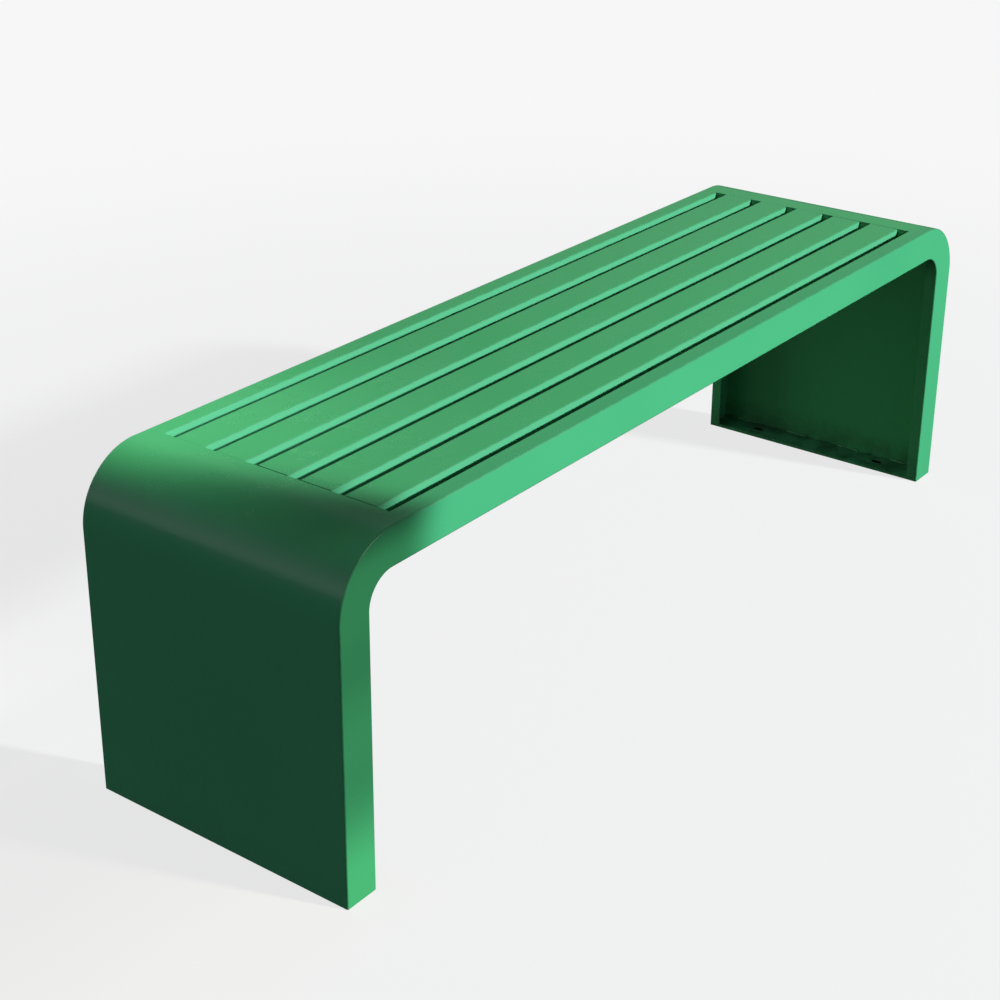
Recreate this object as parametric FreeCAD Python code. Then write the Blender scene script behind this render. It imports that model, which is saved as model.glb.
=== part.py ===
import FreeCAD, Part
import math
import os

# Backless street bench: an inverted U, folded and welded from steel sheet.
# +X runs along the bench, +Y from its front to its back, and +Z up. The origin is on the
# ground under the middle of the seat. Sizes are in millimetres.

# Overall size
LENGTH = 1500.0
DEPTH = 400.0
HEIGHT = 450.0

# Side profile: a band of one depth follows the legs, the bends and the seat
BAND = 50.0
OUTER_BEND_R = 90.0

# Sheet steel
SHEET = 3.0
GROUND_EDGE_R = 2.0
FOLD_R = 2.0
RETURN_LIP = 18.0

# Seat: a window filled with slats, with a slot on each side of every slat
WINDOW_LENGTH = 1270.0
SIDE_STRIP = 26.0
SLAT_COUNT = 5
SLAT_WIDTH = 48.0
SLAT_SHEET = 1.5
SLAT_DEPTH = 22.0
SLAT_END_GAP = 1.0

# Supports under the slats: an angle at each end of the window, and bearers between them
BEARER_COUNT = 3
ANGLE_LEG = 25.0

# Feet: a plate with two slotted anchor holes closes the bottom of each leg
FOOT_PLATE = 5.0
ANCHOR_SPACING = 230.0
ANCHOR_SLOT_WIDTH = 10.0
ANCHOR_SLOT_LENGTH = 18.0

# Derived places
HALF_LENGTH = LENGTH / 2
HALF_DEPTH = DEPTH / 2
HALF_WINDOW = WINDOW_LENGTH / 2
BEND_X = HALF_LENGTH - OUTER_BEND_R
BEND_Z = HEIGHT - OUTER_BEND_R
WINDOW_EDGE_Y = HALF_DEPTH - SIDE_STRIP
SLOT_WIDTH = (2 * WINDOW_EDGE_Y - SLAT_COUNT * SLAT_WIDTH) / (SLAT_COUNT + 1)
SLAT_BASE_Z = HEIGHT - SLAT_DEPTH
LIP_TOP_Z = HEIGHT - BAND + SHEET

X_AXIS = FreeCAD.Vector(1, 0, 0)
Y_AXIS = FreeCAD.Vector(0, 1, 0)
Z_AXIS = FreeCAD.Vector(0, 0, 1)
ORIGIN = FreeCAD.Vector(0, 0, 0)
DIAGONAL = math.sqrt(0.5)


def point(x, y, z):
    return FreeCAD.Vector(x, y, z)


def line(start, end):
    return Part.LineSegment(start, end).toShape()


def box(low, high):
    """A box between two opposite corners, each given as (x, y, z)."""
    size = [b - a for a, b in zip(low, high)]
    return Part.makeBox(*size, point(*low))


def mirrored_left_right(shape):
    return shape.mirror(ORIGIN, X_AXIS)


def mirrored_front_back(shape):
    return shape.mirror(ORIGIN, Y_AXIS)


def closed_face(edges):
    return Part.Face(Part.Wire(edges))


# Side view: shapes that follow the inverted U, drawn in the XZ plane

def right_bend(inset, y):
    """The quarter circle of the right bend, a given distance inside the outer profile."""
    radius = OUTER_BEND_R - inset
    top = point(BEND_X, y, BEND_Z + radius)
    middle = point(BEND_X + radius * DIAGONAL, y, BEND_Z + radius * DIAGONAL)
    side = point(BEND_X + radius, y, BEND_Z)
    return Part.Arc(top, middle, side).toShape()


def right_leg_strip(outer_inset, inner_inset, seat_end_x, foot_z, y, width):
    """Sheet between two insets, from the seat through the right bend down to the foot."""
    outer_x = HALF_LENGTH - outer_inset
    inner_x = HALF_LENGTH - inner_inset
    outer_z = HEIGHT - outer_inset
    inner_z = HEIGHT - inner_inset
    edges = [
        line(point(seat_end_x, y, outer_z), point(BEND_X, y, outer_z)),
        right_bend(outer_inset, y),
        line(point(outer_x, y, BEND_Z), point(outer_x, y, foot_z)),
        line(point(outer_x, y, foot_z), point(inner_x, y, foot_z)),
        line(point(inner_x, y, foot_z), point(inner_x, y, BEND_Z)),
        right_bend(inner_inset, y),
        line(point(BEND_X, y, inner_z), point(seat_end_x, y, inner_z)),
        line(point(seat_end_x, y, inner_z), point(seat_end_x, y, outer_z)),
    ]
    return closed_face(edges).extrude(Y_AXIS * width)


def on_inset(edge, inset):
    """True where an edge's middle lies on the profile that far inside the outer one."""
    middle = edge.valueAt((edge.FirstParameter + edge.LastParameter) / 2)
    across = abs(middle.x) - BEND_X
    up = middle.z - BEND_Z
    if across > 0 and up > 0:
        found = OUTER_BEND_R - math.hypot(across, up)
    elif up > 0:
        found = HEIGHT - middle.z
    else:
        found = HALF_LENGTH - abs(middle.x)
    return abs(found - inset) < 0.01


def round_profile_edge(shape, inset, y):
    """Rounds the edges that follow the profile at one inset, on the face at one y."""
    chosen = [
        edge
        for edge in shape.Edges
        if all(abs(vertex.Y - y) < 0.01 for vertex in edge.Vertexes)
        and on_inset(edge, inset)
    ]
    return shape.makeFillet(GROUND_EDGE_R, chosen)


def make_end_skin():
    """Right end panel, bend and the seat as far as the window, in one rolled sheet."""
    skin = right_leg_strip(0, SHEET, HALF_WINDOW, 0, -HALF_DEPTH, DEPTH)
    for y in (-HALF_DEPTH, HALF_DEPTH):
        skin = round_profile_edge(skin, 0, y)
    return skin


def make_front_cheek():
    """Flat inverted-U band between the skins' edges and the opening under the seat."""
    right = right_leg_strip(SHEET, BAND, 0, 0, -HALF_DEPTH, SHEET)
    cheek = right.fuse(mirrored_left_right(right)).removeSplitter()
    return round_profile_edge(cheek, BAND, -HALF_DEPTH)


def make_front_leg_lip():
    """Return lip of the right leg and its bend, standing on the foot plate."""
    lip_width = RETURN_LIP - SHEET
    return right_leg_strip(
        BAND - SHEET, BAND, HALF_WINDOW, FOOT_PLATE, -HALF_DEPTH + SHEET, lip_width
    )


def make_front_rail_lip():
    """Return lip along the bottom of the front rail, between the two leg lips."""
    return box(
        (-HALF_WINDOW, -HALF_DEPTH + SHEET, LIP_TOP_Z - SHEET),
        (HALF_WINDOW, -HALF_DEPTH + RETURN_LIP, LIP_TOP_Z),
    )


# End view: folded sections, drawn in the YZ plane and extruded along X

def quarter_arc(centre_y, centre_z, radius, y_side, z_side, x):
    """Quarter circle in the YZ plane, from the end that is level with the centre."""
    level = point(x, centre_y + y_side * radius, centre_z)
    middle = point(
        x,
        centre_y + y_side * radius * DIAGONAL,
        centre_z + z_side * radius * DIAGONAL,
    )
    upright = point(x, centre_y, centre_z + z_side * radius)
    return Part.Arc(level, middle, upright).toShape()


def make_front_top_strip():
    """Angle in front of the first slot: its back leg is folded down into the slot.

    The fold is grooved inside, so its inner corner is sharp.
    """
    x = -HALF_WINDOW
    front = -HALF_DEPTH
    back = -WINDOW_EDGE_Y
    top = HEIGHT
    under = HEIGHT - SHEET
    fold_y = back - FOLD_R
    fold_z = top - FOLD_R
    edges = [
        line(point(x, front, under), point(x, front, top - GROUND_EDGE_R)),
        quarter_arc(
            front + GROUND_EDGE_R, top - GROUND_EDGE_R, GROUND_EDGE_R, -1, 1, x
        ),
        line(point(x, front + GROUND_EDGE_R, top), point(x, fold_y, top)),
        quarter_arc(fold_y, fold_z, FOLD_R, 1, 1, x),
        line(point(x, back, fold_z), point(x, back, SLAT_BASE_Z)),
        line(point(x, back, SLAT_BASE_Z), point(x, back - SHEET, SLAT_BASE_Z)),
        line(point(x, back - SHEET, SLAT_BASE_Z), point(x, back - SHEET, under)),
        line(point(x, back - SHEET, under), point(x, front, under)),
    ]
    return closed_face(edges).extrude(X_AXIS * WINDOW_LENGTH)


def channel_outline(half_width, top, radius, x):
    """Half of a channel's outline: from its foot up, round the fold and to its middle."""
    fold_y = half_width - radius
    fold_z = top - radius
    return [
        line(point(x, half_width, SLAT_BASE_Z), point(x, half_width, fold_z)),
        quarter_arc(fold_y, fold_z, radius, 1, 1, x),
        line(point(x, fold_y, top), point(x, 0, top)),
    ]


def make_slat(centre_y):
    """Channel folded from thin sheet, open below, that fills the window's length."""
    x = -HALF_WINDOW + SLAT_END_GAP
    half = SLAT_WIDTH / 2
    inner_half = half - SLAT_SHEET
    inner_r = FOLD_R - SLAT_SHEET
    edges = channel_outline(half, HEIGHT, FOLD_R, x)
    edges += channel_outline(inner_half, HEIGHT - SLAT_SHEET, inner_r, x)
    edges.append(line(point(x, half, SLAT_BASE_Z), point(x, inner_half, SLAT_BASE_Z)))
    edges.append(line(point(x, 0, HEIGHT), point(x, 0, HEIGHT - SLAT_SHEET)))
    outline = Part.Wire(Part.__sortEdges__(edges))
    half_slat = Part.Face(outline).extrude(X_AXIS * (WINDOW_LENGTH - 2 * SLAT_END_GAP))
    slat = half_slat.fuse(mirrored_front_back(half_slat)).removeSplitter()
    slat.translate(Y_AXIS * centre_y)
    return slat


# Supports and feet

def make_end_ledger():
    """Angle across the right end of the window: closes the slots and carries the slats."""
    upright = box(
        (HALF_WINDOW, -WINDOW_EDGE_Y, SLAT_BASE_Z - SHEET),
        (HALF_WINDOW + SHEET, WINDOW_EDGE_Y, HEIGHT - SHEET),
    )
    shelf = box(
        (HALF_WINDOW + SHEET - ANGLE_LEG, -WINDOW_EDGE_Y, SLAT_BASE_Z - SHEET),
        (HALF_WINDOW + SHEET, WINDOW_EDGE_Y, SLAT_BASE_Z),
    )
    return upright.fuse(shelf).removeSplitter()


def make_bearer(x):
    """Angle from cheek to cheek, with its flat leg up against the slats."""
    reach = HALF_DEPTH - SHEET
    flat = box(
        (x - ANGLE_LEG / 2, -reach, SLAT_BASE_Z - SHEET),
        (x + ANGLE_LEG / 2, reach, SLAT_BASE_Z),
    )
    web = box(
        (x - ANGLE_LEG / 2, -reach, SLAT_BASE_Z - ANGLE_LEG),
        (x - ANGLE_LEG / 2 + SHEET, reach, SLAT_BASE_Z),
    )
    return flat.fuse(web).removeSplitter()


def make_anchor_slot(x, y):
    """Cutter for one slotted hole, rounded at both ends and long across the bench."""
    radius = ANCHOR_SLOT_WIDTH / 2
    straight = ANCHOR_SLOT_LENGTH - ANCHOR_SLOT_WIDTH
    cutter = box(
        (x - radius, y - straight / 2, -FOOT_PLATE),
        (x + radius, y + straight / 2, 2 * FOOT_PLATE),
    )
    for end_y in (y - straight / 2, y + straight / 2):
        base = point(x, end_y, -FOOT_PLATE)
        cutter = cutter.fuse(Part.makeCylinder(radius, 3 * FOOT_PLATE, base, Z_AXIS))
    return cutter.removeSplitter()


def make_foot_plate():
    """Base plate of the right leg, inside the skin and the two cheeks."""
    reach = HALF_DEPTH - SHEET
    plate = box(
        (HALF_LENGTH - BAND, -reach, 0),
        (HALF_LENGTH - SHEET, reach, FOOT_PLATE),
    )
    for side in (-1, 1):
        slot_x = HALF_LENGTH - BAND / 2
        plate = plate.cut(make_anchor_slot(slot_x, side * ANCHOR_SPACING / 2))
    return plate


def build_parts():
    """All sub-parts by node name."""
    parts = {
        "right_end_skin": make_end_skin(),
        "front_top_strip": make_front_top_strip(),
        "front_cheek": make_front_cheek(),
        "front_rail_lip": make_front_rail_lip(),
        "front_right_leg_lip": make_front_leg_lip(),
        "right_end_ledger": make_end_ledger(),
        "right_foot_plate": make_foot_plate(),
    }
    for name in list(parts):
        if name.startswith("front_"):
            rear_name = name.replace("front_", "rear_")
            parts[rear_name] = mirrored_front_back(parts[name])
    for name in list(parts):
        if "right_" in name:
            left_name = name.replace("right_", "left_")
            parts[left_name] = mirrored_left_right(parts[name])

    pitch = SLAT_WIDTH + SLOT_WIDTH
    for index in range(SLAT_COUNT):
        centre_y = (index - (SLAT_COUNT - 1) / 2) * pitch
        parts[f"slat_{index + 1}"] = make_slat(centre_y)

    bay = WINDOW_LENGTH / (BEARER_COUNT + 1)
    for index in range(BEARER_COUNT):
        x = -HALF_WINDOW + (index + 1) * bay
        parts[f"cross_bearer_{index + 1}"] = make_bearer(x)
    return parts


def main():
    os.makedirs("parts", exist_ok=True)
    for name, shape in sorted(build_parts().items()):
        shape.exportStep(f"parts/{name}.step")
        bounds = shape.optimalBoundingBox(False)
        print(
            f"{name:20s} solids {len(shape.Solids)} valid {shape.isValid()} "
            f"volume {shape.Volume / 1000:8.1f} cm3 "
            f"size {bounds.XLength:.1f} x {bounds.YLength:.1f} x {bounds.ZLength:.1f}"
        )


main()
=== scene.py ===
import math

import bmesh
import bpy
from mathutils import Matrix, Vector


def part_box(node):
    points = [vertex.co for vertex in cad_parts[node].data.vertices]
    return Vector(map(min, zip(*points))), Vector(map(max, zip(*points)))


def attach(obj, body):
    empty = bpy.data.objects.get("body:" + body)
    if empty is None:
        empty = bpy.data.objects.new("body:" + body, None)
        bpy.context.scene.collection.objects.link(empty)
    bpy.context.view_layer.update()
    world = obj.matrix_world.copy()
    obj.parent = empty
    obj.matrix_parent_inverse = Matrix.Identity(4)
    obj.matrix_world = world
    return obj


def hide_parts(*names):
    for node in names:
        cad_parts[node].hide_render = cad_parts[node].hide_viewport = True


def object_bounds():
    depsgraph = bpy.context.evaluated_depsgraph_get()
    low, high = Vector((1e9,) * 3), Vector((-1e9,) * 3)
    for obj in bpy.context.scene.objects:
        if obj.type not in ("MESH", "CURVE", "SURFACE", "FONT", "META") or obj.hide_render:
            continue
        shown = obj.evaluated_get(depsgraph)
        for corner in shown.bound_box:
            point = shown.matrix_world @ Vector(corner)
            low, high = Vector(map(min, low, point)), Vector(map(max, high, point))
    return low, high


# Looks of the backless steel bench, in metres, in the CAD model's frame:
# +X along the bench, +Y from front to back, +Z up, origin on the ground.

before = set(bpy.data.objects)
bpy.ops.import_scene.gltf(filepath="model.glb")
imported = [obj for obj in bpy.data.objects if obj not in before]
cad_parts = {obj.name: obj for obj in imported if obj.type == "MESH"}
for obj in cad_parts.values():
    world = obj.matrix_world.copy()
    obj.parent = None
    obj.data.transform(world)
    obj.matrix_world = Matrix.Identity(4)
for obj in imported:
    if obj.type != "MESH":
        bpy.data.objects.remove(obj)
CAD_LOW, CAD_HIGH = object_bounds()

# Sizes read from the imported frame
HALF_LENGTH = CAD_HIGH.x
HALF_DEPTH = CAD_HIGH.y
HEIGHT = CAD_HIGH.z
FOOT_LOW, FOOT_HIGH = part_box("right_foot_plate")
STRIP_LOW, STRIP_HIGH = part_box("front_top_strip")
LEDGER_LOW, LEDGER_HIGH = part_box("right_end_ledger")
LIP_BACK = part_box("front_rail_lip")[1].y
BAND = HALF_LENGTH - FOOT_LOW.x
SHEET = FOOT_LOW.y + HALF_DEPTH
HALF_WINDOW = STRIP_HIGH.x
SLAT_BASE_Z = STRIP_LOW.z
FOOT_PLATE = FOOT_HIGH.z
FOOT_MARGIN = SHEET * 1.5
ANCHOR_X = HALF_LENGTH - BAND / 2

# Sizes that the frame's boxes don't give
OUTER_BEND_R = 0.090
BEND_X = HALF_LENGTH - OUTER_BEND_R
BEND_Z = HEIGHT - OUTER_BEND_R
GROUND_EDGE_R = 0.002
FOLD_R = 0.002
SLAT_SHEET = 0.0015
CUT_EDGE_R = 0.0004
ANGLE_ROOT_R = 0.0025
ANGLE_TOE_R = 0.0012
ANCHOR_SPACING = 0.230
ANCHOR_SLOT_WIDTH = 0.010
ANCHOR_SLOT_LENGTH = 0.018

# Ends of the slats: those that butt close, and how much further other left ends stand off
SNUG_GAP = 0.0002
OPEN_GAP = 0.0007
SNUG_LEFT = ("slat_4", "slat_5")
SNUG_RIGHT = ("slat_3", "slat_4", "slat_5")

# Weld beads. The depth of the troughs and the radius at the tips are shares of WELD_R.
WELD_R = 0.0026
WELD_RIPPLE = 0.0024
WELD_TROUGH = 0.18
WELD_TIP = 0.2
LONG_STITCH = 0.040
SHORT_STITCH = 0.026
FOOT_STITCHES = (-0.150, -0.050, 0.050, 0.150)
LEDGER_STITCHES = (-0.120, 0.0, 0.120)

# Fineness of the meshes
BEND_STEPS = 48
ROUND_STEPS = 5
ANCHOR_STEPS = 12
BEAD_SIDES = 10
RINGS_PER_RIPPLE = 4
BEVEL_ANGLE = math.radians(40)
SHARP_ANGLE = math.radians(35)


# Mesh building

def rounded_section(corners):
    """A closed outline from corners (a, b, radius), where each radius becomes an arc.

    The second list says how far out on a rounded edge each point stands, from 0 to 1.
    """
    outline = []
    rounding = []
    count = len(corners)
    for index, (a, b, radius) in enumerate(corners):
        corner = Vector((a, b))
        if radius == 0:
            outline.append(corner)
            rounding.append(0.0)
            continue
        before = (Vector(corners[index - 1][:2]) - corner).normalized()
        after = (Vector(corners[(index + 1) % count][:2]) - corner).normalized()
        half_angle = before.angle(after) / 2
        centre = corner + (before + after).normalized() * radius / math.sin(half_angle)
        start = corner + before * radius / math.tan(half_angle) - centre
        end = corner + after * radius / math.tan(half_angle) - centre
        turn = start.angle_signed(end)
        for step in range(ROUND_STEPS + 1):
            angle = -turn * step / ROUND_STEPS
            turned = Vector((
                start.x * math.cos(angle) - start.y * math.sin(angle),
                start.x * math.sin(angle) + start.y * math.cos(angle),
            ))
            outline.append(centre + turned)
            rounding.append(math.sin(math.pi * step / ROUND_STEPS))
    return outline, rounding


def tube_faces(rings, size):
    """Faces through rings of vertices: quads all round, and one face over each end."""
    faces = []
    for ring in range(rings - 1):
        for index in range(size):
            following = (index + 1) % size
            faces.append((
                ring * size + index,
                ring * size + following,
                (ring + 1) * size + following,
                (ring + 1) * size + index,
            ))
    faces.append(tuple(reversed(range(size))))
    faces.append(tuple((rings - 1) * size + index for index in range(size)))
    return faces


def mesh_from_rings(name, rings, rounding=None):
    """A closed tube through rings of points, with how far out on a rounded edge each point of a
    ring stands.
    """
    vertices = [point for ring in rings for point in ring]
    mesh = bpy.data.meshes.new(name)
    mesh.from_pydata(vertices, [], tube_faces(len(rings), len(rings[0])))
    if rounding:
        edge_rounding = mesh.attributes.new("edge_rounding", "FLOAT", "POINT")
        edge_rounding.data.foreach_set("value", rounding * len(rings))
    return mesh


def outward_faces(mesh):
    """Turns every face outwards."""
    work = bmesh.new()
    work.from_mesh(mesh)
    bmesh.ops.recalc_face_normals(work, faces=work.faces)
    work.to_mesh(mesh)
    work.free()


def add_piece(name, mesh, nodes, material, cut_edge=0.0):
    """A piece of the bench, in place of CAD nodes, with flat faces that shade flat."""
    outward_faces(mesh)
    piece = bpy.data.objects.new(name, mesh)
    bpy.context.scene.collection.objects.link(piece)
    mesh.shade_smooth()
    if cut_edge:
        bevel = piece.modifiers.new("cut_edges", "BEVEL")
        bevel.width = cut_edge
        bevel.segments = 2
        bevel.limit_method = "ANGLE"
        bevel.angle_limit = BEVEL_ANGLE
    mesh.set_sharp_from_angle(angle=SHARP_ANGLE)
    weighted = piece.modifiers.new("flat_faces", "WEIGHTED_NORMAL")
    weighted.keep_sharp = True
    mesh.materials.append(material)
    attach(piece, "root")
    if nodes:
        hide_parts(*nodes)


def mirrored(mesh, name, axis):
    """A copy of a mesh, mirrored across the plane through the origin."""
    copy = mesh.copy()
    copy.name = name
    for vertex in copy.vertices:
        vertex.co[axis] = -vertex.co[axis]
    copy.flip_normals()
    return copy


def extrude_x(name, corners, x_low, x_high):
    """Extrudes a section, given as corners (y, z, radius), along X."""
    outline, rounding = rounded_section(corners)
    rings = [[Vector((x, y, z)) for y, z in outline] for x in (x_low, x_high)]
    return mesh_from_rings(name, rings, rounding)


def extrude_y(name, corners, y_low, y_high):
    """Extrudes a section, given as corners (x, z, radius), along Y."""
    outline, rounding = rounded_section(corners)
    rings = [[Vector((x, y, z)) for x, z in outline] for y in (y_low, y_high)]
    return mesh_from_rings(name, rings, rounding)


# Stations along the inverted U: a point on the outer profile and its outward direction

def seat_station(x):
    return Vector((x, HEIGHT)), Vector((0, 1))


def bend_station(side, angle):
    """angle is 0 at the seat and a quarter turn at the leg."""
    outward = Vector((side * math.sin(angle), math.cos(angle)))
    return Vector((side * BEND_X, BEND_Z)) + outward * OUTER_BEND_R, outward


def leg_station(side, z):
    return Vector((side * HALF_LENGTH, z)), Vector((side, 0))


def half_profile(side, seat_x, foot_z):
    """Stations from the seat at seat_x, round one bend and down to foot_z."""
    stations = [seat_station(seat_x)]
    for step in range(BEND_STEPS + 1):
        stations.append(bend_station(side, math.pi / 2 * step / BEND_STEPS))
    stations.append(leg_station(side, foot_z))
    return stations


def sweep(name, stations, corners):
    """Sweeps a section, given as corners (y, inset, radius), along the stations."""
    outline, rounding = rounded_section(corners)
    rings = [
        [
            Vector((at.x - out.x * inset, y, at.y - out.y * inset))
            for y, inset in outline
        ]
        for at, out in stations
    ]
    return mesh_from_rings(name, rings, rounding)


# Skins, cheeks and lips

def make_end_skins(material):
    corners = [
        (-HALF_DEPTH, 0, GROUND_EDGE_R),
        (-HALF_DEPTH, SHEET, 0),
        (HALF_DEPTH, SHEET, 0),
        (HALF_DEPTH, 0, GROUND_EDGE_R),
    ]
    for side, name in ((-1, "left_end_skin"), (1, "right_end_skin")):
        stations = half_profile(side, side * HALF_WINDOW, 0)
        mesh = sweep(name + "_looks", stations, corners)
        add_piece(mesh.name, mesh, [name], material)


def make_cheeks(material):
    corners = [
        (-HALF_DEPTH, SHEET, 0),
        (-HALF_DEPTH, BAND, GROUND_EDGE_R),
        (-HALF_DEPTH + SHEET, BAND, 0),
        (-HALF_DEPTH + SHEET, SHEET, 0),
    ]
    stations = list(reversed(half_profile(-1, 0, 0))) + half_profile(1, 0, 0)[1:]
    front = sweep("front_cheek_looks", stations, corners)
    rear = mirrored(front, "rear_cheek_looks", 1)
    add_piece(front.name, front, ["front_cheek"], material)
    add_piece(rear.name, rear, ["rear_cheek"], material)


def make_lips(material):
    corners = [
        (-HALF_DEPTH + SHEET, BAND - SHEET, 0),
        (-HALF_DEPTH + SHEET, BAND, 0),
        (LIP_BACK, BAND, CUT_EDGE_R * 2),
        (LIP_BACK, BAND - SHEET, CUT_EDGE_R * 2),
    ]
    runs = {
        "left_leg_lip": half_profile(-1, -HALF_WINDOW, FOOT_PLATE),
        "rail_lip": [seat_station(-HALF_WINDOW), seat_station(HALF_WINDOW)],
        "right_leg_lip": half_profile(1, HALF_WINDOW, FOOT_PLATE),
    }
    for run, stations in runs.items():
        front = sweep(f"front_{run}_looks", stations, corners)
        rear = mirrored(front, f"rear_{run}_looks", 1)
        add_piece(front.name, front, [f"front_{run}"], material)
        add_piece(rear.name, rear, [f"rear_{run}"], material)


# Seat

def make_top_strips(material):
    back = STRIP_HIGH.y
    corners = [
        (-HALF_DEPTH, HEIGHT - SHEET, 0),
        (-HALF_DEPTH, HEIGHT, GROUND_EDGE_R),
        (back, HEIGHT, FOLD_R),
        (back, SLAT_BASE_Z, CUT_EDGE_R),
        (back - SHEET, SLAT_BASE_Z, CUT_EDGE_R),
        (back - SHEET, HEIGHT - SHEET, 0),
    ]
    front = extrude_x("front_top_strip_looks", corners, -HALF_WINDOW, HALF_WINDOW)
    rear = mirrored(front, "rear_top_strip_looks", 1)
    add_piece(front.name, front, ["front_top_strip"], material)
    add_piece(rear.name, rear, ["rear_top_strip"], material)


def nodes_called(prefix):
    return sorted(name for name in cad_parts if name.startswith(prefix))


def make_slats(material):
    """The slats, some of whose ends butt closer to the end skins than others."""
    inner_r = FOLD_R - SLAT_SHEET
    snug_end = HALF_WINDOW - SNUG_GAP
    for name in nodes_called("slat_"):
        low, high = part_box(name)
        left_end = -snug_end if name in SNUG_LEFT else low.x + OPEN_GAP
        right_end = snug_end if name in SNUG_RIGHT else high.x
        under = high.z - SLAT_SHEET
        corners = [
            (low.y, low.z, CUT_EDGE_R),
            (low.y, high.z, FOLD_R),
            (high.y, high.z, FOLD_R),
            (high.y, low.z, CUT_EDGE_R),
            (high.y - SLAT_SHEET, low.z, CUT_EDGE_R),
            (high.y - SLAT_SHEET, under, inner_r),
            (low.y + SLAT_SHEET, under, inner_r),
            (low.y + SLAT_SHEET, low.z, CUT_EDGE_R),
        ]
        mesh = extrude_x(name + "_looks", corners, left_end, right_end)
        add_piece(mesh.name, mesh, [name], material, CUT_EDGE_R / 2)


# Supports and feet

def make_ledgers(material):
    low, high = LEDGER_LOW, LEDGER_HIGH
    corners = [
        (low.x, low.z, ANGLE_TOE_R),
        (high.x, low.z, CUT_EDGE_R),
        (high.x, high.z, CUT_EDGE_R),
        (high.x - SHEET, high.z, ANGLE_TOE_R),
        (high.x - SHEET, low.z + SHEET, ANGLE_ROOT_R),
        (low.x, low.z + SHEET, ANGLE_TOE_R),
    ]
    right = extrude_y("right_end_ledger_looks", corners, low.y, high.y)
    left = mirrored(right, "left_end_ledger_looks", 0)
    add_piece(right.name, right, ["right_end_ledger"], material, CUT_EDGE_R)
    add_piece(left.name, left, ["left_end_ledger"], material, CUT_EDGE_R)


def make_bearers(material):
    for name in nodes_called("cross_bearer_"):
        low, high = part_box(name)
        corners = [
            (low.x, low.z, ANGLE_TOE_R),
            (low.x, high.z, CUT_EDGE_R),
            (high.x, high.z, CUT_EDGE_R),
            (high.x, high.z - SHEET, ANGLE_TOE_R),
            (low.x + SHEET, high.z - SHEET, ANGLE_ROOT_R),
            (low.x + SHEET, low.z, ANGLE_TOE_R),
        ]
        mesh = extrude_y(name + "_looks", corners, low.y, high.y)
        add_piece(mesh.name, mesh, [name], material)


def anchor_slot_outline(x, y):
    """A slotted hole, long along Y, as a loop of points."""
    radius = ANCHOR_SLOT_WIDTH / 2
    straight = (ANCHOR_SLOT_LENGTH - ANCHOR_SLOT_WIDTH) / 2
    loop = []
    for end in (1, -1):
        for step in range(ANCHOR_STEPS + 1):
            angle = math.pi * step / ANCHOR_STEPS
            loop.append((
                x + end * radius * math.cos(angle),
                y + end * (straight + radius * math.sin(angle)),
            ))
    return loop


def perforated_plate(name, loops, z_low, z_high):
    """A plate between two heights. The first loop is its outline and the rest are holes."""
    work = bmesh.new()
    levels = []
    for z in (z_low, z_high):
        rings = [[work.verts.new((x, y, z)) for x, y in loop] for loop in loops]
        edges = [
            work.edges.new((ring[index - 1], ring[index]))
            for ring in rings
            for index in range(len(ring))
        ]
        bmesh.ops.triangle_fill(work, edges=edges, use_beauty=True)
        levels.append(rings)
    for lower, upper in zip(*levels):
        for index in range(len(lower)):
            work.faces.new((
                lower[index - 1],
                lower[index],
                upper[index],
                upper[index - 1],
            ))
    mesh = bpy.data.meshes.new(name)
    work.to_mesh(mesh)
    work.free()
    return mesh


def make_foot_plates(material):
    low, high = FOOT_LOW, FOOT_HIGH
    outline = [(low.x, low.y), (high.x, low.y), (high.x, high.y), (low.x, high.y)]
    holes = [anchor_slot_outline(ANCHOR_X, side * ANCHOR_SPACING / 2) for side in (-1, 1)]
    right = perforated_plate("right_foot_plate_looks", [outline] + holes, low.z, high.z)
    left = mirrored(right, "left_foot_plate_looks", 0)
    add_piece(right.name, right, ["right_foot_plate"], material, CUT_EDGE_R)
    add_piece(left.name, left, ["left_foot_plate"], material, CUT_EDGE_R)


# Weld beads, which are built up in ripples and buried in the corner that they fill

def bead_radius(share, length):
    """Radius of a bead at a share of its length: rippled, and thin at both tips."""
    ripple = abs(math.sin(math.pi * share * length / WELD_RIPPLE))
    taper = min(1, min(share, 1 - share) * length / WELD_R)
    swell = math.sqrt(WELD_TIP ** 2 + (1 - WELD_TIP ** 2) * taper)
    return WELD_R * (1 - WELD_TROUGH * (1 - ripple)) * swell


def weld_bead(start, end):
    """Vertices and faces of one bead from start to end."""
    along = (end - start).normalized()
    across = along.orthogonal().normalized()
    up = along.cross(across)
    length = (end - start).length
    steps = math.ceil(length / WELD_RIPPLE) * RINGS_PER_RIPPLE
    vertices = []
    for step in range(steps + 1):
        share = step / steps
        radius = bead_radius(share, length)
        for index in range(BEAD_SIDES):
            angle = math.tau * index / BEAD_SIDES
            outward = across * math.cos(angle) + up * math.sin(angle)
            vertices.append(start + along * length * share + outward * radius)
    return vertices, tube_faces(steps + 1, BEAD_SIDES)


def add_welds(name, beads, material):
    """One piece that holds several beads, each given as (start, end)."""
    vertices = []
    faces = []
    for start, end in beads:
        new_vertices, new_faces = weld_bead(Vector(start), Vector(end))
        offset = len(vertices)
        vertices += new_vertices
        faces += [tuple(offset + index for index in face) for face in new_faces]
    mesh = bpy.data.meshes.new(name)
    mesh.from_pydata(vertices, [], faces)
    add_piece(name, mesh, [], material)


def stitches(middles, length):
    """Starts and ends of short runs of weld about each middle."""
    return [(middle - length / 2, middle + length / 2) for middle in middles]


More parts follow.
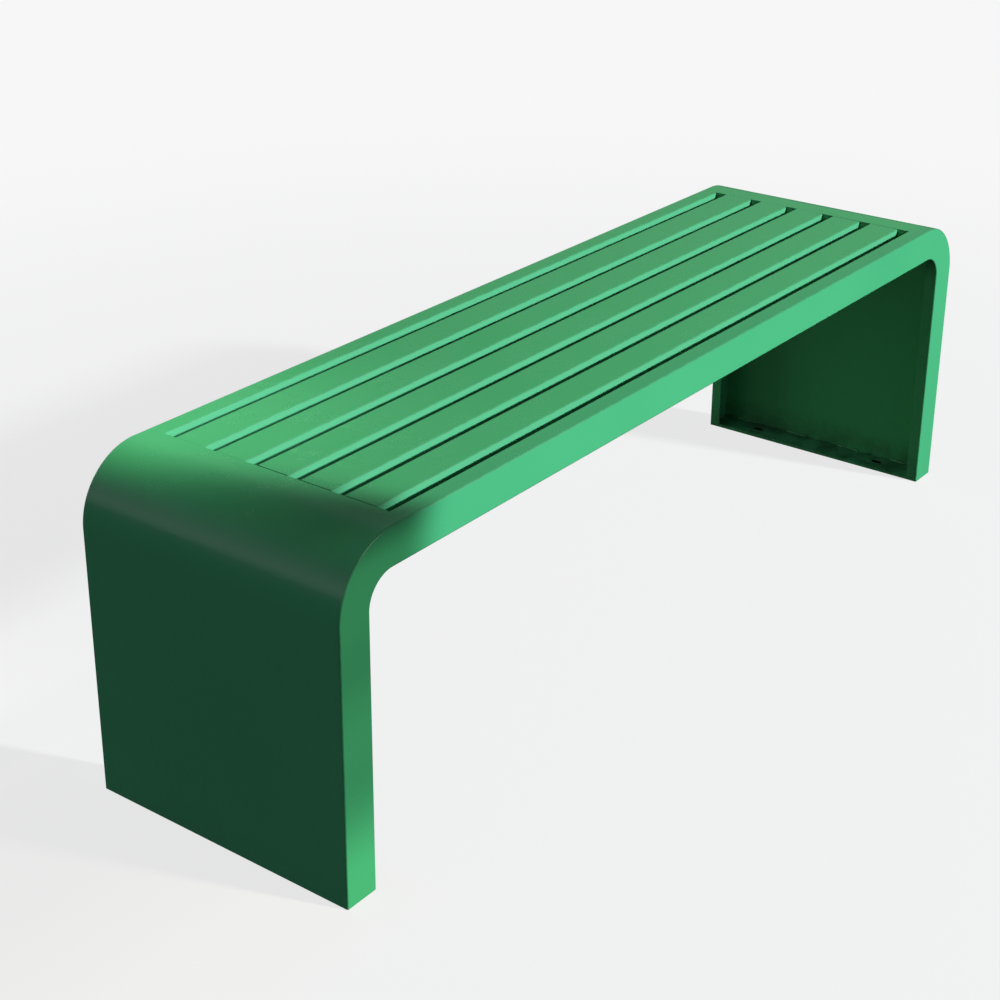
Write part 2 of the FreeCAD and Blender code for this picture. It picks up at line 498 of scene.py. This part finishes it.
def make_bearer_welds(material):
    """Upright beads where the bearers meet the cheeks."""
    beads = []
    for name in nodes_called("cross_bearer_"):
        low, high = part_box(name)
        for y in (low.y, high.y):
            beads.append(((low.x, y, low.z + WELD_R), (low.x, y, high.z - WELD_R)))
    add_welds("bearer_welds", beads, material)


def make_end_welds(material):
    """Stitches round the foot plates and along the ledgers, at both ends of the bench."""
    for side, label in ((-1, "left"), (1, "right")):
        skin_x = side * FOOT_HIGH.x
        beads = [
            ((skin_x, start, FOOT_PLATE), (skin_x, end, FOOT_PLATE))
            for start, end in stitches(FOOT_STITCHES, LONG_STITCH)
        ]
        for y in (FOOT_LOW.y, FOOT_HIGH.y):
            for start, end in stitches((side * ANCHOR_X,), SHORT_STITCH):
                beads.append(((start, y, FOOT_PLATE), (end, y, FOOT_PLATE)))
        add_welds(f"{label}_foot_plate_welds", beads, material)

        ledger_x = side * LEDGER_HIGH.x
        beads = [
            ((ledger_x, start, LEDGER_HIGH.z), (ledger_x, end, LEDGER_HIGH.z))
            for start, end in stitches(LEDGER_STITCHES, LONG_STITCH)
        ]
        add_welds(f"{label}_ledger_welds", beads, material)


# Node trees

class Tree:
    """Short calls for building a node tree."""

    def __init__(self, tree):
        self.nodes = tree.nodes
        self.links = tree.links

    def add(self, kind, settings=None, **inputs):
        """A node with settings, whose inputs are linked if they are sockets."""
        node = self.nodes.new(kind)
        for key, value in (settings or {}).items():
            setattr(node, key, value)
        for key, value in inputs.items():
            self.put(node, key, value)
        return node

    def put(self, node, key, value):
        """Links or sets an input, whose key is a name such as From_Min or i and a number."""
        index = int(key[1:]) if key[0] == "i" and key[1:].isdigit() else None
        name = key.replace("_", " ")
        socket = node.inputs[index] if index is not None else node.inputs[name]
        if isinstance(value, bpy.types.NodeSocket):
            self.links.new(value, socket)
        else:
            socket.default_value = value

    def object_place(self):
        return self.add("ShaderNodeTexCoord").outputs["Object"]

    def split(self, vector):
        """The X, Y and Z of a vector."""
        return self.add("ShaderNodeSeparateXYZ", Vector=vector).outputs

    def calc(self, operation, first, second=0.0):
        settings = {"operation": operation}
        return self.add("ShaderNodeMath", settings, i0=first, i1=second).outputs[0]

    def times(self, first, *others):
        for other in others:
            first = self.calc("MULTIPLY", first, other)
        return first

    def plus(self, first, second):
        return self.calc("ADD", first, second)

    def spread(self, value, low, high, to_low, to_high):
        """Maps low..high smoothly onto to_low..to_high."""
        node = self.add(
            "ShaderNodeMapRange",
            {"interpolation_type": "SMOOTHSTEP"},
            Value=value,
            From_Min=low,
            From_Max=high,
            To_Min=to_low,
            To_Max=to_high,
        )
        return node.outputs[0]

    def rise(self, value, low, high):
        """0 up to low, 1 from high on."""
        return self.spread(value, low, high, 0.0, 1.0)

    def fall(self, value, low, high):
        """1 up to low, 0 from high on."""
        return self.spread(value, low, high, 1.0, 0.0)

    def noise(self, vector, scale, detail=2.0, roughness=0.5):
        node = self.add(
            "ShaderNodeTexNoise", Vector=vector, Scale=scale, Detail=detail, Roughness=roughness
        )
        return node.outputs["Fac"]

    def patches(self, vector, scale, detail=2.0):
        """Soft patches of noise, from 0 to 1."""
        return self.rise(self.noise(vector, scale, detail), 0.25, 0.75)

    def uneven(self, vector, scale, low, high, detail=2.0, roughness=0.5):
        """Crisper noise, from low to high."""
        return self.spread(self.noise(vector, scale, detail, roughness), 0.3, 0.7, low, high)

    def ramp(self, value, low, high, stops):
        """Maps low..high onto a colour ramp through stops (share, (red, green, blue))."""
        share = self.add("ShaderNodeMapRange", Value=value, From_Min=low, From_Max=high)
        node = self.add("ShaderNodeValToRGB", Fac=share.outputs[0])
        elements = node.color_ramp.elements
        while len(elements) < len(stops):
            elements.new(0.5)
        for element, (position, color) in zip(elements, stops):
            element.position = position
            element.color = (*color, 1)
        return node.outputs["Color"]

    def mix_color(self, factor, first, second, blend="MIX"):
        settings = {"data_type": "RGBA", "blend_type": blend}
        return self.add("ShaderNodeMix", settings, i0=factor, i6=first, i7=second).outputs[2]

    def mix_shader(self, factor, first, second):
        return self.add("ShaderNodeMixShader", i0=factor, i1=first, i2=second).outputs[0]

    def bump(self, height, distance, normal=None):
        node = self.add("ShaderNodeBump", Height=height, Strength=1.0, Distance=distance)
        if normal is not None:
            self.put(node, "Normal", normal)
        return node.outputs["Normal"]


def new_material(name):
    """A material and its tree, which starts with a Principled shader and the output."""
    material = bpy.data.materials.new(name)
    material.use_nodes = True
    return material, Tree(material.node_tree)


def inside_feet(tree, across, back):
    """1 between the skins of either leg and 0 elsewhere."""
    across = tree.calc("ABSOLUTE", across)
    back = tree.calc("ABSOLUTE", back)
    beyond = tree.calc("GREATER_THAN", across, HALF_LENGTH - BAND + SHEET)
    within = tree.calc("LESS_THAN", across, HALF_LENGTH - FOOT_MARGIN)
    between = tree.calc("LESS_THAN", back, HALF_DEPTH - FOOT_MARGIN)
    return tree.times(beyond, within, between)


# Powder coat: its colours

COAT_GREEN = (0.063, 0.425, 0.188, 1)
COAT_DEEP = (0.057, 0.400, 0.178, 1)
COAT_PALE = (0.078, 0.470, 0.220, 1)
# Painted light: the top of the seat, lighter as if lit more strongly
COAT_LIT_TOP = (0.083, 0.548, 0.186, 1)
# Painted light: the slot walls that face the front, lighter as if lit more brightly
COAT_LIT_SLOT_WALL = (0.092, 0.447, 0.222, 1)
# Painted shade: the darker green of rounded edges, which also hides their highlight
COAT_EDGE_SHADE = (0.030, 0.180, 0.082, 1)
# Painted shade: the deeper, warmer green of inner and downward faces
COAT_SHADED_TINT = (0.050, 0.400, 0.128, 1)
DUST = (0.17, 0.25, 0.16, 1)
# Dark green near the ground: partly dirt, partly painted shade
GRIME_AND_SHADE = (0.021, 0.110, 0.036, 1)
# Painted shade: near-black in the anchor slots
ANCHOR_SLOT_SHADE = (0.003, 0.010, 0.004, 1)

# How strongly the marks show, in all or from the least to the most
MOTTLE_SHARE = 0.16
DUST_SHARE = 0.05
EDGE_SHARE = 0.85
EDGE_BREAKS = (0.65, 1.0)
# Painted light on the top of the seat, in all and near its front edge
TOP_LIGHT_SHARES = (0.0, 0.9)
FRONT_TOP_LIGHT_SHARES = (0.6, 1.0)
SPLASHES = (0.3, 1.0)
UPRIGHT_TO_LYING_SPLASHES = (0.06, 0.9)
HIDDEN_SPLASH_SHARE = 0.7

# Noise scales, per metre
CLOUD_SCALE = 3.5
MOTTLE_SCALE = 420.0
FILM_SCALE = 11.0
EDGE_SCALE = 60.0
SPLASH_SCALE = 30.0
GLOSS_SCALE = 9.0

# From where to where the coat changes: heights, places along Y, and how far a surface
# faces up, front or outwards, as a part of its normal
SEAT_HEIGHTS = (0.25, 0.35)
SLOT_HEIGHTS = (0.40, 0.43)
SPLASH_HEIGHTS = (0.0, 0.06)
ANCHOR_SHADE_HEIGHTS = (0.0044, FOOT_PLATE)
FRONT_STRIP_BACK = (-0.190, -0.165)
CHEEK_BACK = (-0.198, -0.190)
TOP_FACING = (0.35, 0.98)
FRONT_FACING = (-0.95, -0.70)
HIDDEN_FACING = (-0.8, -0.1)
LYING_FACING = (0.3, 0.9)
LEVEL_FACING = (0.9, 1.0)

# Roughness of clean coat, and what is added to it
ROUGHNESS_LOW = 0.17
ROUGHNESS_HIGH = 0.22
ADDED_ROUGHNESS = {"mottle": 0.03, "dusty": 0.10, "grime_and_shade": 0.30, "edge": 0.22, "anchor_slot_shade": 0.60}

# Relief: noise scales per metre, and heights in metres
WAVE_SCALE = 2.6
WAVE_RELIEF = 0.0012
PEEL_SCALE = 260.0
PEEL_RELIEF = 0.00007
GRAIN_SCALE = 1300.0
GRAIN_RELIEF = 0.000008


def coat_masks(tree, place):
    """Where the coat is cloudy, dusty or dirty, and where light or shade is painted on it, as
    values from 0 to 1.
    """
    normal = tree.add("ShaderNodeNewGeometry").outputs["Normal"]
    across, back, height = tree.split(place)
    facing_end, facing_back, facing_up = tree.split(normal)

    # The top of the seat in a lighter green, painted light as if lit more strongly, less so
    # along its front edge; and dust on it
    top = tree.times(
        tree.spread(facing_up, *TOP_FACING, *TOP_LIGHT_SHARES),
        tree.rise(height, *SEAT_HEIGHTS),
        tree.spread(back, *FRONT_STRIP_BACK, *FRONT_TOP_LIGHT_SHARES),
    )
    dusty = tree.times(top, tree.patches(place, FILM_SCALE, 3.0))

    # Painted light: the walls of the slots that face the front, in a lighter green
    slot_wall = tree.times(
        tree.fall(facing_back, *FRONT_FACING),
        tree.rise(back, *CHEEK_BACK),
        tree.rise(height, *SLOT_HEIGHTS),
    )

    # Painted shade: the inner sides of the legs, and all that faces down, get a deeper, warmer
    # green
    facing_outwards = tree.times(facing_end, tree.calc("SIGN", across))
    hidden = tree.fall(tree.calc("MINIMUM", facing_outwards, facing_up), *HIDDEN_FACING)

    # Painted shade: rounded edges in a darker green, broken up with noise
    rounding = tree.add("ShaderNodeAttribute", {"attribute_name": "edge_rounding"}).outputs["Fac"]
    edge = tree.times(rounding, tree.uneven(place, EDGE_SCALE, *EDGE_BREAKS))

    # Dark green splashes near the ground, most of all on what lies flat or is sheltered: partly
    # dirt, partly painted shade
    lying = tree.spread(facing_up, *LYING_FACING, *UPRIGHT_TO_LYING_SPLASHES)
    lying = tree.calc("MAXIMUM", lying, tree.times(hidden, HIDDEN_SPLASH_SHARE))
    low = tree.times(tree.fall(height, *SPLASH_HEIGHTS), lying)
    grime_and_shade = tree.times(low, tree.uneven(place, SPLASH_SCALE, *SPLASHES, 4.0, 0.6))

    # Painted shade: near-black in the anchor slots, below the top of the foot plates
    anchor_slot_shade = tree.times(
        inside_feet(tree, across, back),
        tree.fall(height, *ANCHOR_SHADE_HEIGHTS),
        tree.fall(facing_up, *LEVEL_FACING),
    )
    return {
        "cloud": tree.patches(place, CLOUD_SCALE),
        "mottle": tree.patches(place, MOTTLE_SCALE),
        "top": top,
        "dusty": dusty,
        "slot_wall": slot_wall,
        "hidden": hidden,
        "edge": edge,
        "grime_and_shade": grime_and_shade,
        "anchor_slot_shade": anchor_slot_shade,
    }


def coat_color(tree, masks):
    """Green that is cloudy and finely mottled, with every mask in its own colour."""
    mottle = tree.times(masks["mottle"], MOTTLE_SHARE)
    dusty = tree.times(masks["dusty"], DUST_SHARE)
    edge = tree.times(masks["edge"], EDGE_SHARE)
    color = tree.mix_color(masks["cloud"], COAT_GREEN, COAT_DEEP)
    color = tree.mix_color(mottle, color, COAT_PALE)
    # Painted light on the top and the slot walls, painted shade on inner faces, edges and
    # anchor slots, and partly on the splashes near the ground
    color = tree.mix_color(masks["top"], color, COAT_LIT_TOP)
    color = tree.mix_color(masks["slot_wall"], color, COAT_LIT_SLOT_WALL)
    color = tree.mix_color(masks["hidden"], color, COAT_SHADED_TINT)
    color = tree.mix_color(dusty, color, DUST)
    color = tree.mix_color(edge, color, COAT_EDGE_SHADE)
    color = tree.mix_color(masks["grime_and_shade"], color, GRIME_AND_SHADE)
    return tree.mix_color(masks["anchor_slot_shade"], color, ANCHOR_SLOT_SHADE)


def coat_roughness(tree, place, masks):
    """Semi-gloss, duller where it is dusty, on the edges, in the dark splashes near the ground
    and in the painted shade of the anchor slots.
    """
    roughness = tree.uneven(place, GLOSS_SCALE, ROUGHNESS_LOW, ROUGHNESS_HIGH, 3.0)
    for name, added in ADDED_ROUGHNESS.items():
        roughness = tree.plus(roughness, tree.times(masks[name], added))
    return roughness


def coat_relief(tree, place):
    """Sheet that isn't quite flat, orange peel, and the grain of the powder."""
    wave = tree.bump(tree.noise(place, WAVE_SCALE, 1.0), WAVE_RELIEF)
    peel = tree.bump(tree.noise(place, PEEL_SCALE, 1.0, 0.4), PEEL_RELIEF, wave)
    return tree.bump(tree.noise(place, GRAIN_SCALE), GRAIN_RELIEF, peel)


def make_powder_coat():
    material, tree = new_material("powder_coat")
    shader = tree.nodes["Principled BSDF"]
    place = tree.object_place()
    masks = coat_masks(tree, place)
    tree.put(shader, "Base Color", coat_color(tree, masks))
    tree.put(shader, "Roughness", coat_roughness(tree, place, masks))
    tree.put(shader, "Normal", coat_relief(tree, place))
    shader.inputs["IOR"].default_value = 1.5
    return material


# Camera, whose yaw turns from +X towards +Y, and whose pitch is negative downwards

CAMERA_AT = (-2.0859, -1.4045, 1.3706)
CAMERA_YAW = math.radians(37.633)
CAMERA_PITCH = math.radians(-23.445)
LENS_MM = 69.66
SENSOR_MM = 36.0
SHIFT_X = 0.03
SHIFT_Y = -0.07


def place_facing(item, position, direction):
    """Puts a camera or a light into the scene, facing along direction."""
    item.location = position
    item.rotation_mode = "QUATERNION"
    item.rotation_quaternion = direction.to_track_quat("-Z", "Y")
    bpy.context.scene.collection.objects.link(item)


def make_camera():
    data = bpy.data.cameras.new("camera")
    data.sensor_width = SENSOR_MM
    data.lens = LENS_MM
    data.shift_x = SHIFT_X
    data.shift_y = SHIFT_Y
    camera = bpy.data.objects.new("camera", data)
    forward = Vector((
        math.cos(CAMERA_PITCH) * math.cos(CAMERA_YAW),
        math.cos(CAMERA_PITCH) * math.sin(CAMERA_YAW),
        math.sin(CAMERA_PITCH),
    ))
    place_facing(camera, CAMERA_AT, forward)
    bpy.context.scene.camera = camera


# Floor and backdrop

FLOOR_REACH = 40.0
FLOOR_Z = -0.0005
FLOOR_GREY = (0.8, 0.8, 0.8, 1)
FLOOR_ROUGHNESS = 0.9
NEAR_TO_FAR = (0.9, 3.0)
NEAR_TO_FAR_GLOW = (0.82, 1.0)
BACKDROP_GREY = (0.93, 0.93, 0.93, 1)
BACKDROP_RADIUS = 38.0
BACKDROP_HEIGHTS = (-12.0, 40.0)
BACKDROP_STEPS = 64


def rectangle(name, corners):
    mesh = bpy.data.meshes.new(name)
    mesh.from_pydata(corners, [], [(0, 1, 2, 3)])
    return mesh


def add_stage_object(mesh, material, hidden_from):
    """An object of the stage, which some kinds of ray pass by."""
    mesh.materials.append(material)
    item = bpy.data.objects.new(mesh.name, mesh)
    bpy.context.scene.collection.objects.link(item)
    for ray in hidden_from:
        setattr(item, f"visible_{ray}", False)
    return item


def make_floor():
    """A pale floor: partly glowing, so that the bench's shadow on it stays light.

    Only the camera sees it. It is clear from below, and dark inside the feet, where it paints
    the shadow under the legs.
    """
    material, tree = new_material("floor")
    shader = tree.nodes["Principled BSDF"]
    shader.inputs["Base Color"].default_value = FLOOR_GREY
    shader.inputs["Roughness"].default_value = FLOOR_ROUGHNESS
    shader.inputs["Specular IOR Level"].default_value = 0.0
    glow = tree.add("ShaderNodeEmission", Color=BACKDROP_GREY, Strength=1.0).outputs[0]
    dark = tree.add("ShaderNodeEmission", Strength=0.0).outputs[0]
    clear = tree.add("ShaderNodeBsdfTransparent").outputs[0]
    place = tree.object_place()
    away = tree.add("ShaderNodeVectorMath", {"operation": "LENGTH"}, i0=place).outputs["Value"]
    glowing = tree.spread(away, *NEAR_TO_FAR, *NEAR_TO_FAR_GLOW)
    across, back, _ = tree.split(place)
    under = tree.add("ShaderNodeNewGeometry").outputs["Backfacing"]
    surface = tree.mix_shader(glowing, shader.outputs[0], glow)
    # Painted shadow: no glow inside the feet
    surface = tree.mix_shader(inside_feet(tree, across, back), surface, dark)
    surface = tree.mix_shader(under, surface, clear)
    tree.put(tree.nodes["Material Output"], "Surface", surface)
    mesh = rectangle("floor", [
        (-FLOOR_REACH, -FLOOR_REACH, FLOOR_Z),
        (FLOOR_REACH, -FLOOR_REACH, FLOOR_Z),
        (FLOOR_REACH, FLOOR_REACH, FLOOR_Z),
        (-FLOOR_REACH, FLOOR_REACH, FLOOR_Z),
    ])
    floor = add_stage_object(mesh, material, ("diffuse", "glossy", "transmission", "shadow"))


def make_backdrop():
    """A wide wall round the floor, so that the horizon doesn't show in low views."""
    material, tree = new_material("backdrop")
    glow = tree.add("ShaderNodeEmission", Color=BACKDROP_GREY, Strength=1.0).outputs[0]
    tree.put(tree.nodes["Material Output"], "Surface", glow)
    angles = [math.tau * step / BACKDROP_STEPS for step in range(BACKDROP_STEPS)]
    circle = [Vector((math.cos(angle), math.sin(angle))) * BACKDROP_RADIUS for angle in angles]
    rings = [[Vector((at.x, at.y, z)) for at in circle] for z in BACKDROP_HEIGHTS]
    mesh = mesh_from_rings("backdrop", rings)
    backdrop = add_stage_object(mesh, material, ("diffuse", "glossy", "transmission", "shadow"))


# Scrim: a graded net in the way of the key light, with pairs of a height and the share of the
# light that passes there. Its right side, which leans with height, is open.

SCRIM_Y = -0.75
SCRIM_LOW_X = -1.10
SCRIM_HIGH_X = -0.30
SCRIM_LOW_Z = 0.25
SCRIM_HIGH_Z = 0.92
SCRIM_PASSES = (
    (0.256, 1.0), (0.314, 0.98), (0.344, 0.86), (0.376, 0.60), (0.424, 0.42), (0.472, 0.46),
    (0.520, 0.41), (0.567, 0.31), (0.609, 0.37), (0.688, 0.34), (0.706, 0.0), (0.824, 0.0),
    (0.880, 1.0),
)
SCRIM_TINT = (1.0, 1.0, 0.82, 1)
SCRIM_LEAN = 0.16
SCRIM_SIDE = (-0.544, -0.476)
OPEN = (1, 1, 1, 1)


def make_scrim():
    """The scrim, which shades the front left corner softly and can't be seen."""
    material, tree = new_material("scrim")
    parts = tree.split(tree.object_place())
    tall = SCRIM_HIGH_Z - SCRIM_LOW_Z
    stops = [((z - SCRIM_LOW_Z) / tall, (grey, grey, grey)) for z, grey in SCRIM_PASSES]
    passed = tree.ramp(parts["Z"], SCRIM_LOW_Z, SCRIM_HIGH_Z, stops)
    passed = tree.mix_color(1.0, passed, SCRIM_TINT, "MULTIPLY")
    upright = tree.calc("SUBTRACT", parts["X"], tree.times(parts["Z"], SCRIM_LEAN))
    passed = tree.mix_color(tree.rise(upright, *SCRIM_SIDE), passed, OPEN)
    net = tree.add("ShaderNodeBsdfTransparent", Color=passed).outputs[0]
    tree.put(tree.nodes["Material Output"], "Surface", net)
    mesh = rectangle("scrim", [
        (SCRIM_LOW_X, SCRIM_Y, SCRIM_LOW_Z),
        (SCRIM_HIGH_X, SCRIM_Y, SCRIM_LOW_Z),
        (SCRIM_HIGH_X, SCRIM_Y, SCRIM_HIGH_Z),
        (SCRIM_LOW_X, SCRIM_Y, SCRIM_HIGH_Z),
    ])
    scrim = add_stage_object(mesh, material, ("camera", "diffuse", "glossy", "transmission"))


# Studio air: pairs of a share of the way from straight down to straight up, and a colour.
# Then how strong it is, as low, high, to_low and to_high along one part of the direction.

AIR = (
    (0.0, (0.020, 0.020, 0.020)),
    (0.562, (0.050, 0.050, 0.050)),
    (0.583, (0.58, 0.56, 0.58)),
    (0.65, (0.56, 0.53, 0.56)),
    (0.775, (0.19, 0.18, 0.23)),
    (0.85, (0.05, 0.05, 0.09)),
    (0.92, (0.025, 0.025, 0.045)),
    (1.0, (0.020, 0.020, 0.035)),
)
RIGHT_LOW_AIR = (0.26, 0.31, 0.55, 0.06)
RIGHT_HIGH_AIR = (0.38, 0.56, 0.0, 0.8)
FRONT_TO_REAR_AIR = (-0.5, 0.4, 0.72, 1.0)
LEFT_TO_RIGHT = (-0.15, 0.55)


def make_world():
    """Dim studio air, brightest just above the horizon on the left and dark below it."""
    world = bpy.data.worlds.new("studio")
    world.use_nodes = True
    tree = Tree(world.node_tree)
    parts = tree.split(tree.add("ShaderNodeTexCoord").outputs["Generated"])
    background = tree.nodes["Background"]
    tree.put(background, "Color", tree.ramp(parts["Z"], -1.0, 1.0, AIR))
    right = tree.plus(
        tree.spread(parts["Z"], *RIGHT_LOW_AIR),
        tree.spread(parts["Z"], *RIGHT_HIGH_AIR),
    )
    sideways = tree.spread(parts["X"], *LEFT_TO_RIGHT, 1.0, right)
    rearwards = tree.spread(parts["Y"], *FRONT_TO_REAR_AIR)
    tree.put(background, "Strength", tree.times(sideways, rearwards))
    bpy.context.scene.world = world


# Lights, whose power is in watts

KEY_AIM = Vector((0.0, 0.0, 0.35))
KEY_FROM = Vector((0.270, -0.872, 0.405)).normalized()
KEY_DISTANCE = 15.0
KEY_SIZE = (1.0, 1.0)
KEY_POWER = 3400
KEY_COLOR = (0.98, 1.0, 1.02)
GLOW_AIM = Vector((-0.67, 0.275, 0.45))
GLOW_FROM = Vector((0.50, -0.42, 0.76))
GLOW_DISTANCE = 3.0
GLOW_SIZE = 0.15
GLOW_ANGLE = math.radians(12)
GLOW_POWER = 200
FILL_AIM = Vector((0, 0, 0.3))
FILL_AT = Vector((-0.2, 4.6, 0.7))
FILL_SIZE = (3.0, 0.6)
FILL_POWER = 70
FILL_COLOR = (1, 1, 1)


def add_area_light(name, position, target, size, power, color):
    data = bpy.data.lights.new(name, "AREA")
    data.shape = "RECTANGLE"
    data.size, data.size_y = size
    data.energy = power
    data.color = color
    light = bpy.data.objects.new(name, data)
    place_facing(light, position, target - position)


def add_glow():
    """A soft spot on the rear left of the seat, which the coat doesn't mirror."""
    data = bpy.data.lights.new("rear_left_glow", "SPOT")
    data.energy = GLOW_POWER
    data.spot_size = GLOW_ANGLE
    data.spot_blend = 1.0
    data.shadow_soft_size = GLOW_SIZE
    light = bpy.data.objects.new("rear_left_glow", data)
    light.visible_glossy = False
    position = GLOW_AIM + GLOW_FROM * GLOW_DISTANCE
    place_facing(light, position, GLOW_AIM - position)


make_camera()
make_world()
make_floor()
make_backdrop()
make_scrim()
add_area_light(
    "key", KEY_AIM + KEY_FROM * KEY_DISTANCE, KEY_AIM, KEY_SIZE, KEY_POWER, KEY_COLOR
)
add_glow()
add_area_light("rear_fill", FILL_AT, FILL_AIM, FILL_SIZE, FILL_POWER, FILL_COLOR)

coat = make_powder_coat()
make_end_skins(coat)
make_cheeks(coat)
make_lips(coat)
make_top_strips(coat)
make_slats(coat)
make_ledgers(coat)
make_bearers(coat)
make_foot_plates(coat)
make_bearer_welds(coat)
make_end_welds(coat)

bpy.context.scene.view_settings.view_transform = "Standard"
